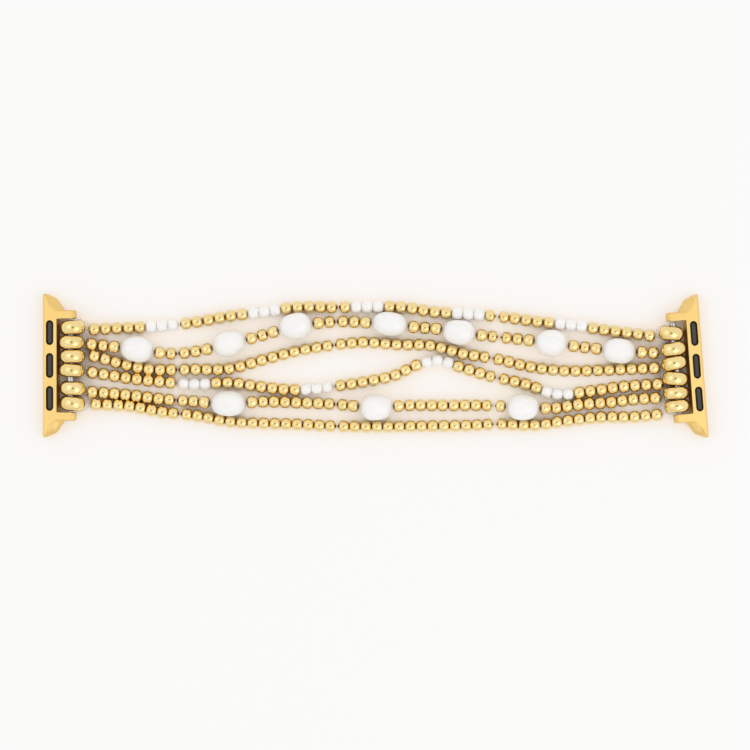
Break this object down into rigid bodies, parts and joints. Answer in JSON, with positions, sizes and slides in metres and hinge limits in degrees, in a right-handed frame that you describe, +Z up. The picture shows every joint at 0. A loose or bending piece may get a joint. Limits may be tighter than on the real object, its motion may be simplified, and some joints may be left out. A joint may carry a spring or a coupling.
{
  "type": "watch strap",
  "caption": "Beaded stretch watch strap: strands of small gold beads and pearls between metal lug adapters that swing on spring bars.",
  "frame": {"origin": "centre of the strap's footprint, on the surface that it lies on", "axes": "+X along the strap from the left lug to the right one, +Y across it, +Z up from the surface"},
  "size_m": [0.1478, 0.0321, 0.0061],
  "materials": {
    "gold_beads": "polished gold plate",
    "satin_gold": "satin gold plate",
    "pearl": "pearl lustre",
    "pad_rubber": "matt dark grey rubber",
    "steel": "bright turned steel"
  },
  "bodies": {
    "strap_end_left": {"strand_1_end_left": "gold_beads", "strand_2_end_left": "gold_beads", "strand_3_end_left": "gold_beads", "strand_4_end_left": "gold_beads", "strand_5_end_left": "gold_beads", "strand_6_end_left": "gold_beads", "pearl_2_1": "pearl"},
    "strap_mid_left": {"strand_1_mid_left": "gold_beads", "strand_2_mid_left": "gold_beads", "strand_3_mid_left": "gold_beads", "strand_4_mid_left": "gold_beads", "strand_5_mid_left": "gold_beads", "strand_6_mid_left": "gold_beads", "pearl_2_2": "pearl", "pearl_2_3": "pearl", "pearl_5_1": "pearl"},
    "strap_mid_right": {"strand_1_mid_right": "gold_beads", "strand_2_mid_right": "gold_beads", "strand_3_mid_right": "gold_beads", "strand_4_mid_right": "gold_beads", "strand_5_mid_right": "gold_beads", "strand_6_mid_right": "gold_beads", "pearl_2_4": "pearl", "pearl_2_5": "pearl", "pearl_5_2": "pearl"},
    "strap_end_right": {"strand_1_end_right": "gold_beads", "strand_2_end_right": "gold_beads", "strand_3_end_right": "gold_beads", "strand_4_end_right": "gold_beads", "strand_5_end_right": "gold_beads", "strand_6_end_right": "gold_beads", "pearl_2_6": "pearl", "pearl_2_7": "pearl", "pearl_5_3": "pearl"},
    "lug_left": {"lug_left": "satin_gold", "insert_left": "pad_rubber", "bar_left": "steel"},
    "saucer_left_1": {"saucer_left_1": "gold_beads"},
    "saucer_left_2": {"saucer_left_2": "gold_beads"},
    "saucer_left_3": {"saucer_left_3": "gold_beads"},
    "saucer_left_4": {"saucer_left_4": "gold_beads"},
    "saucer_left_5": {"saucer_left_5": "gold_beads"},
    "saucer_left_6": {"saucer_left_6": "gold_beads"},
    "tip_left_upper": {"tip_left_upper": "steel"},
    "tip_left_lower": {"tip_left_lower": "steel"},
    "lug_right": {"lug_right": "satin_gold", "insert_right": "pad_rubber", "bar_right": "steel"},
    "saucer_right_1": {"saucer_right_1": "gold_beads"},
    "saucer_right_2": {"saucer_right_2": "gold_beads"},
    "saucer_right_3": {"saucer_right_3": "gold_beads"},
    "saucer_right_4": {"saucer_right_4": "gold_beads"},
    "saucer_right_5": {"saucer_right_5": "gold_beads"},
    "saucer_right_6": {"saucer_right_6": "gold_beads"},
    "tip_right_upper": {"tip_right_upper": "steel"},
    "tip_right_lower": {"tip_right_lower": "steel"}
  },
  "joints": [
    {"name": "flex_left", "type": "hinge", "parent": "strap_mid_left", "child": "strap_end_left", "pos_m": [-0.0439, 0, 0.00135], "axis": [0, 1, 0], "range_deg": [-55, 55]},
    {"name": "flex_middle", "type": "hinge", "parent": "strap_mid_left", "child": "strap_mid_right", "pos_m": [-0.0088, 0, 0.00135], "axis": [0, -1, 0], "range_deg": [-55, 55]},
    {"name": "flex_right", "type": "hinge", "parent": "strap_mid_right", "child": "strap_end_right", "pos_m": [0.0262, 0, 0.0015], "axis": [0, -1, 0], "range_deg": [-55, 55]},
    {"name": "lug_hinge_left", "type": "hinge", "parent": "strap_end_left", "child": "lug_left", "pos_m": [-0.06774, -0.00024, 0.00272], "axis": [0, 1, 0], "range_deg": [-75, 100]},
    {"name": "saucer_spin_left_1", "type": "hinge", "parent": "strap_end_left", "child": "saucer_left_1", "pos_m": [-0.06739, 0.00821, 0.00272], "axis": [-0.0872, 0.9962, 0], "continuous": true},
    {"name": "saucer_spin_left_2", "type": "hinge", "parent": "strap_end_left", "child": "saucer_left_2", "pos_m": [-0.06739, 0.00491, 0.00272], "axis": [0, 1, 0], "continuous": true},
    {"name": "saucer_spin_left_3", "type": "hinge", "parent": "strap_end_left", "child": "saucer_left_3", "pos_m": [-0.06739, 0.00178, 0.00272], "axis": [0, 1, 0], "continuous": true},
    {"name": "saucer_spin_left_4", "type": "hinge", "parent": "strap_end_left", "child": "saucer_left_4", "pos_m": [-0.06739, -0.00132, 0.00272], "axis": [0.0872, 0.9962, 0], "continuous": true},
    {"name": "saucer_spin_left_5", "type": "hinge", "parent": "strap_end_left", "child": "saucer_left_5", "pos_m": [-0.06739, -0.00534, 0.00272], "axis": [0.0523, 0.9986, 0], "continuous": true},
    {"name": "saucer_spin_left_6", "type": "hinge", "parent": "strap_end_left", "child": "saucer_left_6", "pos_m": [-0.06739, -0.00869, 0.00272], "axis": [0.1045, 0.9945, 0], "continuous": true},
    {"name": "tip_slide_left_upper", "type": "slide", "parent": "lug_left", "child": "tip_left_upper", "axis": [0, -1, 0], "range_m": [0, 0.0009], "stiffness_N_per_m": 500},
    {"name": "tip_slide_left_lower", "type": "slide", "parent": "lug_left", "child": "tip_left_lower", "axis": [0, 1, 0], "range_m": [0, 0.0009], "stiffness_N_per_m": 500},
    {"name": "lug_hinge_right", "type": "hinge", "parent": "strap_end_right", "child": "lug_right", "pos_m": [0.06674, -0.00075, 0.00272], "axis": [0.0767, -0.9971, 0], "range_deg": [-75, 100]},
    {"name": "saucer_spin_right_1", "type": "hinge", "parent": "strap_end_right", "child": "saucer_right_1", "pos_m": [0.06581, 0.0069, 0.00272], "axis": [0.0802, 0.9968, 0], "continuous": true},
    {"name": "saucer_spin_right_2", "type": "hinge", "parent": "strap_end_right", "child": "saucer_right_2", "pos_m": [0.06607, 0.00341, 0.00272], "axis": [-0.1736, 0.9848, 0], "continuous": true},
    {"name": "saucer_spin_right_3", "type": "hinge", "parent": "strap_end_right", "child": "saucer_right_3", "pos_m": [0.06631, 0.00027, 0.00272], "axis": [-0.2079, 0.9781, 0], "continuous": true},
    {"name": "saucer_spin_right_4", "type": "hinge", "parent": "strap_end_right", "child": "saucer_right_4", "pos_m": [0.06658, -0.00317, 0.00272], "axis": [0.0802, 0.9968, 0], "continuous": true},
    {"name": "saucer_spin_right_5", "type": "hinge", "parent": "strap_end_right", "child": "saucer_right_5", "pos_m": [0.06682, -0.00636, 0.00272], "axis": [-0.0523, 0.9986, 0], "continuous": true},
    {"name": "saucer_spin_right_6", "type": "hinge", "parent": "strap_end_right", "child": "saucer_right_6", "pos_m": [0.06705, -0.00925, 0.00272], "axis": [-0.1045, 0.9945, 0], "continuous": true},
    {"name": "tip_slide_right_upper", "type": "slide", "parent": "lug_right", "child": "tip_right_upper", "axis": [0.0767, -0.9971, 0], "range_m": [0, 0.0009], "stiffness_N_per_m": 500},
    {"name": "tip_slide_right_lower", "type": "slide", "parent": "lug_right", "child": "tip_right_lower", "axis": [-0.0767, 0.9971, 0], "range_m": [0, 0.0009], "stiffness_N_per_m": 500}
  ]
}
